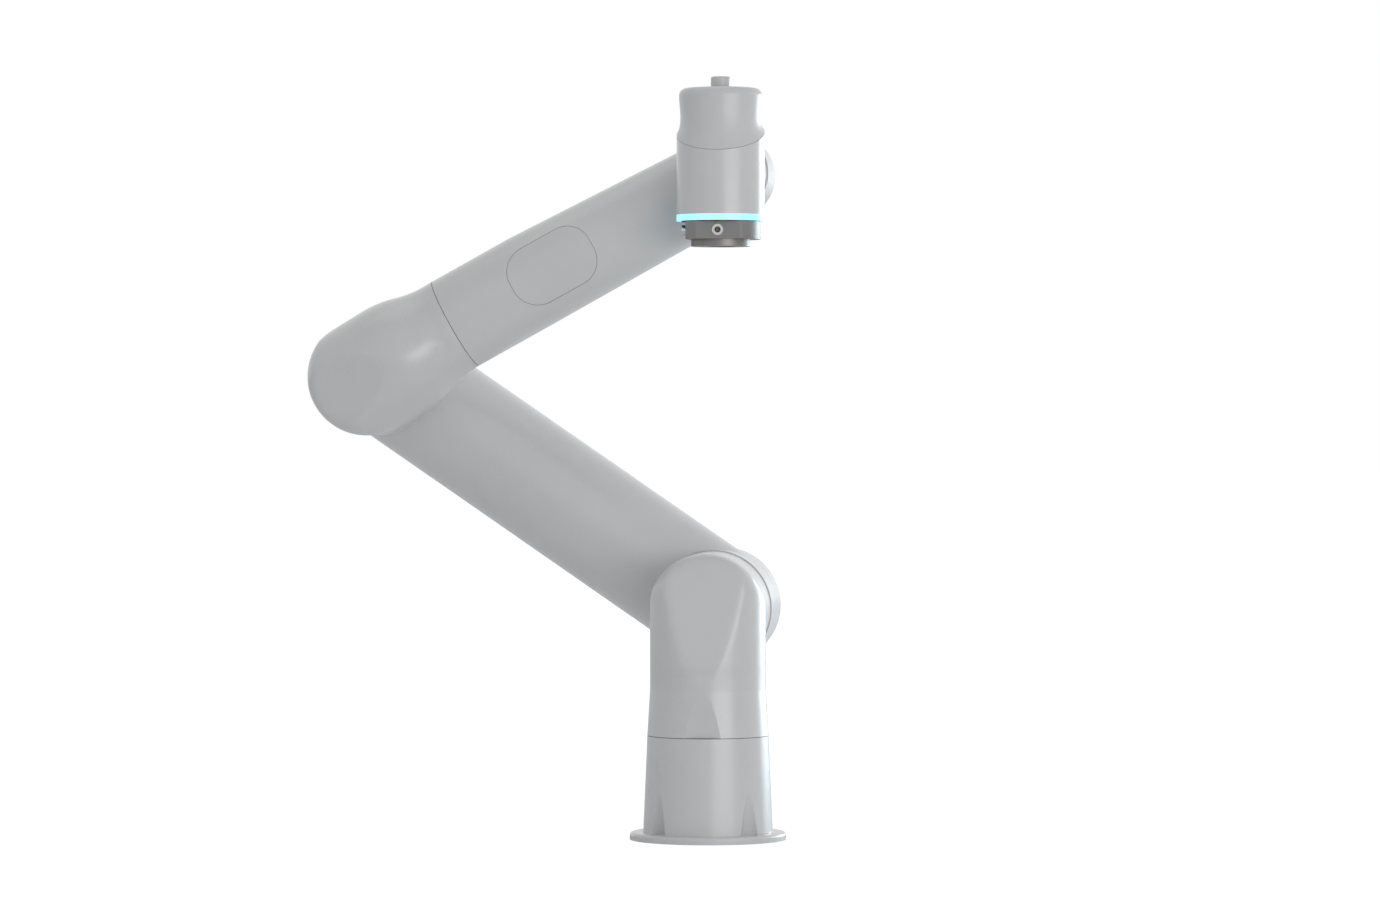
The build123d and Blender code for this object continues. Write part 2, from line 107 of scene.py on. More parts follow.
# Rear caps with a gasket, the body that each is on, and how far a gasket reaches past its cap's radius,
# falls short of its depth and is moved forwards
GASKET_CAPS = {"shoulder_rear_cap": "upper_arm", "elbow_rear_cap": "upper_arm", "forearm_end_cap": "forearm"}
CAP_GASKET_PROUD = 0.05 * MM
CAP_GASKET_SHORT = 0.5 * MM
CAP_GASKET_SHIFT = 0.25 * MM

# The forearm cover's gasket below the skin, and the wrist cap's gasket on its tilted seam
COVER_GASKET_DROP = 0.35 * MM
WRIST_SEAM_TILT = radians(22.0)
WRIST_GASKET_WIDTH = 4.0 * MM
WRIST_GASKET_DROP = 0.2 * MM

# A socket's insert: its play, then shares of the recess, of the bore and of its own depth
INSERT_PLAY = 0.08 * MM
INSERT_DEPTH = 0.45
INSERT_RIM = 0.16
INSERT_EDGE = 0.03
INSERT_DISH = 0.45

# Its pins: shares of the bore, of the recess, of the insert's depth and of a pin's diameter
PIN_CIRCLE = 0.5
PIN_LENGTH = 0.55
PIN_FOOT = 0.45
PIN_EDGE = 0.2

# The studio
FLOOR_SIZE = 60.0
FLOOR_DROP = 0.0005
FLOOR_COLOUR = (0.86, 0.87, 0.88, 1.0)
FLOOR_ROUGHNESS = 0.7
FLOOR_GLOW = 1.42
FLOOR_GLOW_SHARE = 0.6
WHITE = (1.0, 1.0, 1.0, 1.0)
ROOM_COLOUR = (0.975, 0.985, 1.0, 1.0)
SENSOR_WIDTH = 36.0

# What the lamps point at, and each lamp's place, width and height, and colour
LAMP_TARGET = Vector((-0.1, 0.0, 0.42))
LAMPS = {
    "rim_lamp": ((1.9, 2.4, 0.5), (1.8, 1.4), (0.80, 0.93, 1.0)),
    "fill_lamp": ((1.9, -2.9, 0.5), (2.4, 0.9), (1.0, 0.99, 0.98)),
    "top_lamp": ((-0.6, 0.4, 2.8), (2.0, 1.6), (1.0, 1.0, 1.0)),
}


# Sizes and colours that a user would change


class ArmPaint(bpy.types.PropertyGroup):
    """Colours and textures of the outside finishes."""

    paint: FloatVectorProperty(
        name="Paint",
        description="Satin paint on the castings",
        default=(0.60, 0.601, 0.602),
        subtype="COLOR",
        size=3,
    )
    cover: FloatVectorProperty(
        name="Covers",
        description="Moulded covers and the button",
        default=(0.60, 0.601, 0.602),
        subtype="COLOR",
        size=3,
    )
    anodised: FloatVectorProperty(
        name="Tool body",
        description="Dark anodised tool body",
        default=(0.25, 0.242, 0.237),
        subtype="COLOR",
        size=3,
    )
    glow: FloatVectorProperty(
        name="Ring light",
        description="Colour of the lit ring",
        default=(0.10, 0.72, 1.0),
        subtype="COLOR",
        size=3,
    )
    glow_strength: FloatProperty(
        name="Ring strength",
        description="Brightness of the lit ring",
        default=1.15,
        min=0.0,
        max=10.0,
    )
    gloss: FloatProperty(
        name="Paint roughness",
        description="Roughness of the satin paint",
        default=0.29,
    )
    peel: FloatProperty(
        name="Orange peel",
        description="Width of the paint's waves",
        default=2.4 * MM,
        unit="LENGTH",
    )
    crown_softness: FloatProperty(
        name="Crown softness",
        description="Width over which a crown's edge fades",
        default=16 * MM,
        unit="LENGTH",
    )
    crown_reach: FloatProperty(
        name="Crown reach",
        description="How far from a crown's middle the fading ends",
        default=0.095,
        unit="LENGTH",
    )


class ArmSeals(bpy.types.PropertyGroup):
    """Sizes of the seals, gaskets and small turned parts."""

    seal_depth: FloatProperty(
        name="Seal depth",
        description="How far a joint seal lies inside its seam",
        default=0.35 * MM,
        unit="LENGTH",
    )
    seal_width: FloatProperty(
        name="Seal width",
        description="Radial width of a joint seal",
        default=3.0 * MM,
        unit="LENGTH",
    )
    seal_thickness: FloatProperty(
        name="Seal thickness",
        description="Thickness of a joint seal",
        default=0.45 * MM,
        unit="LENGTH",
    )
    gasket: FloatProperty(
        name="Gasket",
        description="Thickness of a cover's gasket",
        default=0.3 * MM,
        unit="LENGTH",
    )
    tool_pins: IntProperty(
        name="Tool pins",
        description="Pins in a tool socket, round the middle",
        default=7,
        min=3,
        max=16,
    )
    tool_pin: FloatProperty(
        name="Tool pin",
        description="Diameter of a tool socket's pin",
        default=0.6 * MM,
        unit="LENGTH",
    )
    tool_bore: FloatProperty(
        name="Tool socket bore",
        description="Bore of a tool socket's ring",
        default=6.5 * MM,
        unit="LENGTH",
    )
    tool_recess: FloatProperty(
        name="Tool socket recess",
        description="Depth of a tool socket's face",
        default=2.0 * MM,
        unit="LENGTH",
    )
    cable_pins: IntProperty(
        name="Cable pins",
        description="Pins in the cable socket, round the middle",
        default=12,
        min=3,
        max=24,
    )
    cable_pin: FloatProperty(
        name="Cable pin",
        description="Diameter of the cable socket's pin",
        default=1.6 * MM,
        unit="LENGTH",
    )
    cable_bore: FloatProperty(
        name="Cable socket bore",
        description="Bore of the cable socket's shell",
        default=22.0 * MM,
        unit="LENGTH",
    )
    cable_recess: FloatProperty(
        name="Cable socket recess",
        description="Depth of the cable socket's face",
        default=6.0 * MM,
        unit="LENGTH",
    )


class ArmStage(bpy.types.PropertyGroup):
    """The studio: camera, lamps and room light."""

    lens: FloatProperty(
        name="Lens",
        description="Focal length for a 36 mm sensor in millimetres",
        default=137.5,
    )
    distance: FloatProperty(
        name="Distance",
        description="From the camera to the base's axis",
        default=5.724,
        unit="LENGTH",
    )
    height: FloatProperty(
        name="Height",
        description="Camera height",
        default=0.4672,
        unit="LENGTH",
    )
    azimuth: FloatProperty(
        name="Azimuth",
        description="Camera's turn about the arm",
        default=radians(5.5),
        unit="ROTATION",
    )
    drop: FloatProperty(
        name="Tilt",
        description="Camera's tilt below level",
        default=radians(0.5545),
        unit="ROTATION",
    )
    sideways: FloatProperty(
        name="Sideways",
        description="Camera's shift to the left of the base's axis",
        default=0.01955,
        unit="LENGTH",
    )
    rim_power: FloatProperty(
        name="Rim lamp",
        description="Power of the lamp on the right, behind the arm",
        default=44.0,
        unit="POWER",
    )
    fill_power: FloatProperty(
        name="Fill lamp",
        description="Power of the front lamp",
        default=25.0,
        unit="POWER",
    )
    top_power: FloatProperty(
        name="Top lamp",
        description="Power of the lamp above",
        default=5.0,
        unit="POWER",
    )
    ambient: FloatProperty(
        name="Ambient",
        description="Strength of the room's light",
        default=0.53,
    )


# Shader helpers


def find_node(tree, kind):
    """The tree's first node of a type."""
    return next(node for node in tree.nodes if node.type == kind)


def new_material(name):
    """A new node material with its tree and Principled shader."""
    material = bpy.data.materials.new(name)
    material.use_nodes = True
    tree = material.node_tree
    return material, tree, find_node(tree, "BSDF_PRINCIPLED")


def set_inputs(node, values):
    """Sets a node's input sockets by name; spaces in names are written as underscores."""
    for key, value in values.items():
        node.inputs[key.replace("_", " ")].default_value = value


def add_node(tree, kind, **values):
    """A node with its own values."""
    node = tree.nodes.new(kind)
    set_inputs(node, values)
    return node


def feed(tree, value, socket):
    """Links an output to a socket, or sets the socket to a number or a colour."""
    if isinstance(value, bpy.types.NodeSocket):
        tree.links.new(value, socket)
    elif isinstance(value, float):
        socket.default_value = value
    else:
        socket.default_value = (*value, 1.0)


def mix(tree, kind, factor, first, second):
    """The result of a Mix node; all that it mixes are outputs, numbers or colours."""
    node = tree.nodes.new("ShaderNodeMix")
    node.data_type = kind
    first_socket, second_socket, result = MIX_SOCKETS[kind]
    feed(tree, factor, node.inputs["Factor"])
    feed(tree, first, node.inputs[first_socket])
    feed(tree, second, node.inputs[second_socket])
    return node.outputs[result]


def calculate(tree, operation, first, second):
    """The result of a Math node; both values are outputs or numbers."""
    node = tree.nodes.new("ShaderNodeMath")
    node.operation = operation
    feed(tree, first, node.inputs[0])
    feed(tree, second, node.inputs[1])
    return node.outputs[0]


def spread(tree, value, low, high, source_low=0.3, source_high=0.7):
    """Maps an output to a range; the source range is where a noise has most of its values."""
    node = tree.nodes.new("ShaderNodeMapRange")
    node.inputs["From Min"].default_value = source_low
    node.inputs["From Max"].default_value = source_high
    node.inputs["To Min"].default_value = low
    node.inputs["To Max"].default_value = high
    tree.links.new(value, node.inputs["Value"])
    return node.outputs["Result"]


def show_mixed(tree, factor, first, second, output):
    """Sends a mix of two shaders to an output node."""
    blend = tree.nodes.new("ShaderNodeMixShader")
    tree.links.new(factor, blend.inputs["Fac"])
    tree.links.new(first.outputs[0], blend.inputs[1])
    tree.links.new(second.outputs[0], blend.inputs[2])
    tree.links.new(blend.outputs[0], output.inputs["Surface"])


# Effects that several materials share


def group_with(name, inputs, outputs):
    """A shader node group with float inputs {name: default} and outputs {name: socket type}."""
    tree = bpy.data.node_groups.new(name, "ShaderNodeTree")
    for label, default in inputs.items():
        socket = tree.interface.new_socket(name=label, in_out="INPUT", socket_type="NodeSocketFloat")
        socket.default_value = default
    for label, kind in outputs.items():
        tree.interface.new_socket(name=label, in_out="OUTPUT", socket_type=kind)
    return tree, tree.nodes.new("NodeGroupInput"), tree.nodes.new("NodeGroupOutput")


def surface_grain_group():
    """Fine waves and grain of a sprayed or moulded surface, with a soft patchy tone."""
    tree, given, result = group_with(
        "surface_grain",
        {"Wave Scale": 400.0, "Grain Scale": 1800.0, "Grain Share": 0.35},
        {"Height": "NodeSocketFloat", "Tone": "NodeSocketFloat"},
    )
    place = tree.nodes.new("ShaderNodeTexCoord").outputs["Object"]
    waves, grain = (add_node(tree, "ShaderNodeTexNoise", Detail=2.0, Roughness=0.5) for _ in range(2))
    for noise, label in ((waves, "Wave Scale"), (grain, "Grain Scale")):
        tree.links.new(place, noise.inputs["Vector"])
        tree.links.new(given.outputs[label], noise.inputs["Scale"])
    height = mix(tree, "FLOAT", given.outputs["Grain Share"], waves.outputs["Fac"], grain.outputs["Fac"])
    tree.links.new(height, result.inputs["Height"])
    patches = add_node(tree, "ShaderNodeTexNoise", Scale=9.0, Detail=3.0)
    tree.links.new(place, patches.inputs["Vector"])
    grain_in_tone = 0.45
    tone = mix(tree, "FLOAT", grain_in_tone, patches.outputs["Fac"], grain.outputs["Fac"])
    tree.links.new(tone, result.inputs["Tone"])
    return tree


def settled_dust_group():
    """A mask of the faint dust that settles on surfaces facing up."""
    tree, given, result = group_with(
        "settled_dust",
        {"Amount": 0.12, "Scale": 60.0},
        {"Mask": "NodeSocketFloat"},
    )
    facing = tree.nodes.new("ShaderNodeSeparateXYZ")
    tree.links.new(tree.nodes.new("ShaderNodeNewGeometry").outputs["Normal"], facing.inputs[0])
    upward = spread(tree, facing.outputs["Z"], low=0.0, high=1.0, source_low=0.2, source_high=1.0)
    place = tree.nodes.new("ShaderNodeTexCoord").outputs["Object"]
    noise = add_node(tree, "ShaderNodeTexNoise", Detail=4.0)
    tree.links.new(place, noise.inputs["Vector"])
    tree.links.new(given.outputs["Scale"], noise.inputs["Scale"])
    patchy = spread(tree, noise.outputs["Fac"], low=0.35, high=1.0)
    settled = calculate(tree, "MULTIPLY", upward, patchy)
    faint = calculate(tree, "MULTIPLY", settled, given.outputs["Amount"])
    tree.links.new(faint, result.inputs["Mask"])
    return tree


def turned_rings_group():
    """Fine rings that a lathe leaves round the tool flange's axis."""
    tree, given, result = group_with("turned_rings", {"Pitch": 5000.0}, {"Height": "NodeSocketFloat"})
    place = tree.nodes.new("ShaderNodeTexCoord").outputs["Object"]
    centre = tree.nodes.new("ShaderNodeMapping")
    low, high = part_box("tool_flange")
    middle = (Vector(low) + Vector(high)) / 2
    centre.inputs["Location"].default_value = (-middle.x, -middle.y, 0)
    wave = add_node(tree, "ShaderNodeTexWave", Distortion=0.4)
    wave.wave_type = "RINGS"
    wave.rings_direction = "Z"
    tree.links.new(place, centre.inputs["Vector"])
    tree.links.new(centre.outputs["Vector"], wave.inputs["Vector"])
    tree.links.new(given.outputs["Pitch"], wave.inputs["Scale"])
    tree.links.new(wave.outputs["Fac"], result.inputs["Height"])
    return tree


def soft_crown_group():
    """The surface normal, averaged over a cast crown's edge near a given point."""
    tree, given, result = group_with(
        "soft_crown",
        {"X": 0.0, "Y": 0.0, "Z": 0.0, "Softness": 0.01, "Reach": 0.1},
        {"Normal": "NodeSocketVector"},
    )
    centre = tree.nodes.new("ShaderNodeCombineXYZ")
    for label in "XYZ":
        tree.links.new(given.outputs[label], centre.inputs[label])
    away = tree.nodes.new("ShaderNodeVectorMath")
    away.operation = "DISTANCE"
    tree.links.new(tree.nodes.new("ShaderNodeTexCoord").outputs["Object"], away.inputs[0])
    tree.links.new(centre.outputs[0], away.inputs[1])
    share = calculate(tree, "DIVIDE", away.outputs["Value"], given.outputs["Reach"])
    near = spread(tree, share, low=1.0, high=0.0, source_low=0.7, source_high=1.0)
    rounded = tree.nodes.new("ShaderNodeBevel")
    rounded.samples = 8
    tree.links.new(given.outputs["Softness"], rounded.inputs["Radius"])
    plain = tree.nodes.new("ShaderNodeNewGeometry").outputs["Normal"]
    tree.links.new(mix(tree, "VECTOR", near, plain, rounded.outputs["Normal"]), result.inputs["Normal"])
    return tree


def place_group(tree, group, **values):
    """A group node in a material with its own values."""
    node = tree.nodes.new("ShaderNodeGroup")
    node.node_tree = group
    set_inputs(node, values)
    return node


# Finishes

GROUPS = {}
FINISHES = {}


def place_grain(tree, wave_scale, grain_scale, grain_share):
    """The grain group in a material."""
    return place_group(
        tree,
        GROUPS["surface_grain"],
        Wave_Scale=wave_scale,
        Grain_Scale=grain_scale,
        Grain_Share=grain_share,
    )


def patchy_colour(tree, grain, darker, lighter):
    """A colour that wanders between two with the grain's tone."""
    return mix(tree, "RGBA", spread(tree, grain.outputs["Tone"], low=0.0, high=1.0), darker, lighter)


def add_bump(tree, shader, height, strength, distance):
    """Feeds a height to the shader's normal."""
    bump = add_node(tree, "ShaderNodeBump", Strength=strength, Distance=distance)
    tree.links.new(height, bump.inputs["Height"])
    tree.links.new(bump.outputs["Normal"], shader.inputs["Normal"])


def sprayed_finish(name, colour, roughness, peel, coat, grain_share):
    """Satin paint or moulded plastic: patchy tone, fine grain, faint dust on top."""
    material, tree, shader = new_material(name)
    grain = place_grain(tree, 1 / peel, GRAINS_PER_WAVE / peel, grain_share)
    dust = place_group(tree, GROUPS["settled_dust"], Amount=DUST_AMOUNT)
    darker = [channel * DARKER_PATCH for channel in colour]
    lighter = [min(1.0, channel * LIGHTER_PATCH) for channel in colour]
    toned = patchy_colour(tree, grain, darker, lighter)
    dusty = mix(tree, "RGBA", dust.outputs["Mask"], toned, DUST_COLOUR)
    gloss = spread(tree, grain.outputs["Tone"], low=roughness - 0.04, high=roughness + 0.05)
    tree.links.new(dusty, shader.inputs["Base Color"])
    tree.links.new(gloss, shader.inputs["Roughness"])
    set_inputs(shader, {"Coat Weight": coat, "Coat Roughness": COAT_ROUGHNESS, "IOR": PAINT_IOR})
    add_bump(tree, shader, grain.outputs["Height"], strength=0.10, distance=0.05 * MM)
    return material


def casting_paint(name, paint):
    """The satin paint of the castings."""
    return sprayed_finish(name, tuple(paint.paint), paint.gloss, paint.peel, coat=0.35, grain_share=0.35)


def soft_crown_paint(node, paint):
    """Casting paint under which a crown's edge fades, as on a thickly painted casting."""
    material = casting_paint(f"{node}_paint", paint)
    tree = material.node_tree
    centre = CROWNS[node]
    soft = place_group(
        tree,
        GROUPS["soft_crown"],
        X=centre.x,
        Y=centre.y,
        Z=centre.z,
        Softness=paint.crown_softness,
        Reach=paint.crown_reach,
    )
    tree.links.new(soft.outputs["Normal"], find_node(tree, "BUMP").inputs["Normal"])
    return material


def metal_finish(name, colour, roughness, scale, bump=0.15, metallic=1.0):
    """Blasted or ground metal with a fine grain and uneven gloss."""
    material, tree, shader = new_material(name)
    grain = place_grain(tree, scale / 4, scale, grain_share=0.8)
    darker = [channel * DARKER_METAL for channel in colour]
    gloss = spread(tree, grain.outputs["Tone"], low=roughness - 0.06, high=roughness + 0.08)
    tree.links.new(patchy_colour(tree, grain, darker, colour), shader.inputs["Base Color"])
    tree.links.new(gloss, shader.inputs["Roughness"])
    set_inputs(shader, {"Metallic": metallic})
    add_bump(tree, shader, grain.outputs["Height"], strength=bump, distance=0.03 * MM)
    return material


def turned_metal(name, colour, roughness):
    """Lathe-turned aluminium: the metal's bump takes its height from rings round the tool axis."""
    material = metal_finish(name, colour, roughness, scale=2600.0, bump=0.2)
    tree = material.node_tree
    rings = place_group(tree, GROUPS["turned_rings"], Pitch=900.0)
    bump = find_node(tree, "BUMP")
    set_inputs(bump, {"Distance": 0.02 * MM})
    tree.links.new(rings.outputs["Height"], bump.inputs["Height"])
    return material


def rubber_finish(name, colour):
    """Matte seal rubber with a fine moulded grain."""
    material, tree, shader = new_material(name)
    grain = place_grain(tree, wave_scale=900.0, grain_scale=5000.0, grain_share=0.6)
    lighter = [channel * LIGHTER_RUBBER for channel in colour]
    gloss = spread(tree, grain.outputs["Tone"], low=0.6, high=0.78)
    tree.links.new(patchy_colour(tree, grain, colour, lighter), shader.inputs["Base Color"])
    tree.links.new(gloss, shader.inputs["Roughness"])
    add_bump(tree, shader, grain.outputs["Height"], strength=0.2, distance=0.03 * MM)
    return material


def lit_ring_finish(name, paint):
    """Ring plastic that glows evenly, in slightly paler patches."""
    material, tree, shader = new_material(name)
    grain = place_grain(tree, wave_scale=120.0, grain_scale=900.0, grain_share=0.15)
    colour = tuple(paint.glow)
    paleness = 0.30
    paler = [channel + (1 - channel) * paleness for channel in colour]
    tree.links.new(patchy_colour(tree, grain, colour, paler), shader.inputs["Emission Color"])
    set_inputs(
        shader,
        {"Emission Strength": paint.glow_strength, "Base Color": (0.35, 0.55, 0.62, 1.0), "Roughness": 0.3},
    )
    add_bump(tree, shader, grain.outputs["Height"], strength=0.05, distance=0.02 * MM)
    return material


def build_finishes(paint):
    """All the finishes, keyed by the record's material slots, the two crowned castings and added pieces."""
    GROUPS.update(
        surface_grain=surface_grain_group(),
        settled_dust=settled_dust_group(),
        turned_rings=turned_rings_group(),
        soft_crown=soft_crown_group(),
    )
    FINISHES.update(
        painted_casting=casting_paint("satin_paint", paint),
        cover_plastic=sprayed_finish(
            "cover_plastic",
            tuple(paint.cover),
            roughness=paint.gloss + 0.02,
            peel=1.8 * MM,
            coat=0.10,
            grain_share=0.5,
        ),
        bare_aluminium=metal_finish("brushed_aluminium", (0.55, 0.56, 0.57), roughness=0.38, scale=1800.0),
        anodised_aluminium=metal_finish(
            "dark_anodising",
            tuple(paint.anodised),
            roughness=0.42,
            scale=2400.0,
            bump=0.25,
            metallic=0.75,
        ),
        machined_aluminium=turned_metal("turned_aluminium", (0.62, 0.62, 0.63), roughness=0.24),
        gear_steel=metal_finish("ground_steel", (0.45, 0.45, 0.46), roughness=0.32, scale=1500.0),
        motor_steel=metal_finish("laminated_steel", (0.26, 0.24, 0.22), roughness=0.45, scale=1200.0),
        board_laminate=rubber_finish("circuit_board", (0.02, 0.09, 0.035)),
        ring_plastic=lit_ring_finish("lit_ring", paint),
        dark_plastic=rubber_finish("dark_plastic", (0.022, 0.023, 0.025)),
        spring_rubber=rubber_finish("silicone", (0.05, 0.05, 0.05)),
        screw_steel=metal_finish("plated_steel", (0.58, 0.58, 0.60), roughness=0.28, scale=1500.0),
        seal_rubber=rubber_finish("seal_rubber", (0.012, 0.012, 0.013)),
        pin_gold=metal_finish("contact_gold", (0.83, 0.60, 0.24), roughness=0.25, scale=1500.0),
    )
    for node in CROWNS:
        FINISHES[node] = soft_crown_paint(node, paint)


# Modelling helpers


def object_mode():
    """Leaves edit mode."""
    if bpy.context.mode != "OBJECT":
        bpy.ops.object.mode_set(mode="OBJECT")


def deselect_all():
    """Leaves object mode with nothing selected."""
    object_mode()
    bpy.ops.object.select_all(action="DESELECT")


def select_only(piece):
    """Selects one piece and makes it active."""
    deselect_all()
    piece.select_set(True)
    bpy.context.view_layer.objects.active = piece


def edit_faces(piece, wanted):
    """Enters edit mode with only the wanted faces selected; wanted takes a face's centre and normal."""
    bpy.ops.object.mode_set(mode="EDIT")
    bpy.ops.mesh.select_mode(type="FACE")
    bpy.ops.mesh.select_all(action="DESELECT")
    mesh = bmesh.from_edit_mesh(piece.data)
    for face in mesh.faces:
        if wanted(face.calc_center_median(), face.normal):
            face.select_set(True)
    bmesh.update_edit_mesh(piece.data)


def to_place(piece, centre, direction):
    """Turns a piece built along Z to a direction, moves it to its centre and bakes both into its mesh."""
    object_mode()
    piece.rotation_euler = direction.to_track_quat("Z", "Y").to_euler()
    piece.location = centre
    bpy.ops.object.transform_apply(location=True, rotation=True, scale=True)


def finish_piece(piece, name, body, finish):
    """Names a piece, gives it its finish and lets it ride on its body."""
    piece.name = piece.data.name = name
    piece.data.materials.clear()
    piece.data.materials.append(FINISHES[finish])
    select_only(piece)
    bpy.ops.object.shade_smooth_by_angle(angle=SMOOTH_ANGLE)
    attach(piece, body)


def add_disc(radius, depth, sides):
    """A disc primitive on Z, selected and active."""
    deselect_all()
    bpy.ops.mesh.primitive_cylinder_add(vertices=sides, radius=radius, depth=depth)
    return bpy.context.active_object


def joined(pieces):
    """Several meshes joined into the first."""
    select_only(pieces[0])
    for piece in pieces:
        piece.select_set(True)
    bpy.ops.object.join()
    return bpy.context.active_object


def flat_ring(outer, width, thickness):
    """A flat ring about Z: a disc whose faces are inset and bridged through."""
    piece = add_disc(outer, thickness, RING_SIDES)
    edit_faces(piece, lambda centre, normal: abs(normal.z) > FACING)
    bpy.ops.mesh.inset(thickness=width)
    bpy.ops.mesh.bridge_edge_loops()
    bpy.ops.mesh.select_all(action="SELECT")
    bpy.ops.mesh.normals_make_consistent(inside=False)
    bpy.ops.object.mode_set(mode="OBJECT")
    return piece


# Operators


class ARM_OT_finish_castings(bpy.types.Operator):
    """Gives every piece of the frame the finish of its material slot"""

    bl_idname = "arm.finish_castings"
    bl_label = "Finish the castings and inner parts"

    def execute(self, context):
        """The two crowned castings have a finish of their own under their node's name."""
        build_finishes(context.scene.arm_paint)
        for entry in frame["record"]["subparts"]:
            node = frame["nodes"][entry["node"]]
            node.data.materials.clear()
            node.data.materials.append(FINISHES.get(entry["node"], FINISHES[entry["material_slot"]]))
        return {"FINISHED"}


class ARM_OT_joint_seals(bpy.types.Operator):
    """Adds the dark lip seal in each turning joint's seam"""

    bl_idname = "arm.joint_seals"
    bl_label = "Joint seals"

    def execute(self, context):
        """One ring for each seam, a little inside the housings' skin."""
        seals = context.scene.arm_seals
        for name, (radius, outwards, body) in SEAM_SEALS.items():
            joint = JOINTS[name]
            axis = Vector(joint["axis"]).normalized()
            direction = outwards or axis * -1
            centre = Vector(joint["pos_m"]) + direction * HALF_SEAM
            ring = flat_ring(radius - seals.seal_depth, seals.seal_width, seals.seal_thickness)
            to_place(ring, centre, direction)
            finish_piece(ring, f"{name}_seal", body, "seal_rubber")
        return {"FINISHED"}


class ARM_OT_cover_gaskets(bpy.types.Operator):
    """Adds the thin dark gaskets round the forearm cover, the wrist cap and the rear caps"""

    bl_idname = "arm.cover_gaskets"
    bl_label = "Cover gaskets"

    def execute(self, context):
        """The two gaskets of their own shape, then one for each rear cap."""
        seals = context.scene.arm_seals
        self.forearm_gasket(seals)
        self.wrist_gasket(seals)
        for cap, body in GASKET_CAPS.items():
            low, high = (Vector(corner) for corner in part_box(cap))
            outer = (high.x - low.x) / 2 + seals.gasket + CAP_GASKET_PROUD
            depth = (high.y - low.y) - CAP_GASKET_SHORT
            ring = flat_ring(outer, seals.gasket, depth)
            centre = (low + high) / 2 + FRONT * CAP_GASKET_SHIFT
            to_place(ring, centre, REAR)
            finish_piece(ring, f"{cap}_gasket", body, "seal_rubber")
        return {"FINISHED"}

    def forearm_gasket(self, seals):
        """The cover's own side walls, thickened outwards into the gap and set below the skin."""
        source = frame["nodes"]["forearm_cover"]
        piece = bpy.data.objects.new("forearm_cover_gasket", source.data.copy())
        bpy.context.scene.collection.objects.link(piece)
        select_only(piece)
        bpy.ops.object.mode_set(mode="EDIT")
        bpy.ops.mesh.select_all(action="SELECT")
        bpy.ops.mesh.remove_doubles(threshold=MERGE_DISTANCE)
        bpy.ops.object.mode_set(mode="OBJECT")
        edit_faces(piece, lambda centre, normal: abs(normal.y) > SIDEWAYS_FACING)
        bpy.ops.mesh.delete(type="FACE")
        bpy.ops.object.mode_set(mode="OBJECT")
        wall = piece.modifiers.new("gasket", "SOLIDIFY")
        wall.thickness = seals.gasket
        wall.offset = 1.0
        bpy.ops.object.modifier_apply(modifier=wall.name)
        piece.location = (0, COVER_GASKET_DROP, 0)
        bpy.ops.object.transform_apply(location=True)
        finish_piece(piece, "forearm_cover_gasket", "forearm", "seal_rubber")

    def wrist_gasket(self, seals):
        """The gasket on the wrist cap's tilted seam, stretched to the oval that the tilt cuts."""
        low, high = (Vector(corner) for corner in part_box("wrist_cap"))
        middle = (low + high) / 2
        half = (high.x - low.x) / 2
        seam = low.z + half * tan(WRIST_SEAM_TILT)
        ring = flat_ring(half - seals.seal_depth, WRIST_GASKET_WIDTH, seals.gasket)
        ring.scale = (1.0, 1.0 / cos(WRIST_SEAM_TILT), 1.0)
        ring.rotation_euler = (WRIST_SEAM_TILT, 0.0, 0.0)
        ring.location = (middle.x, middle.y, seam - WRIST_GASKET_DROP / cos(WRIST_SEAM_TILT))
        bpy.ops.object.transform_apply(location=True, rotation=True, scale=True)
        finish_piece(ring, "wrist_cap_gasket", "wrist", "seal_rubber")


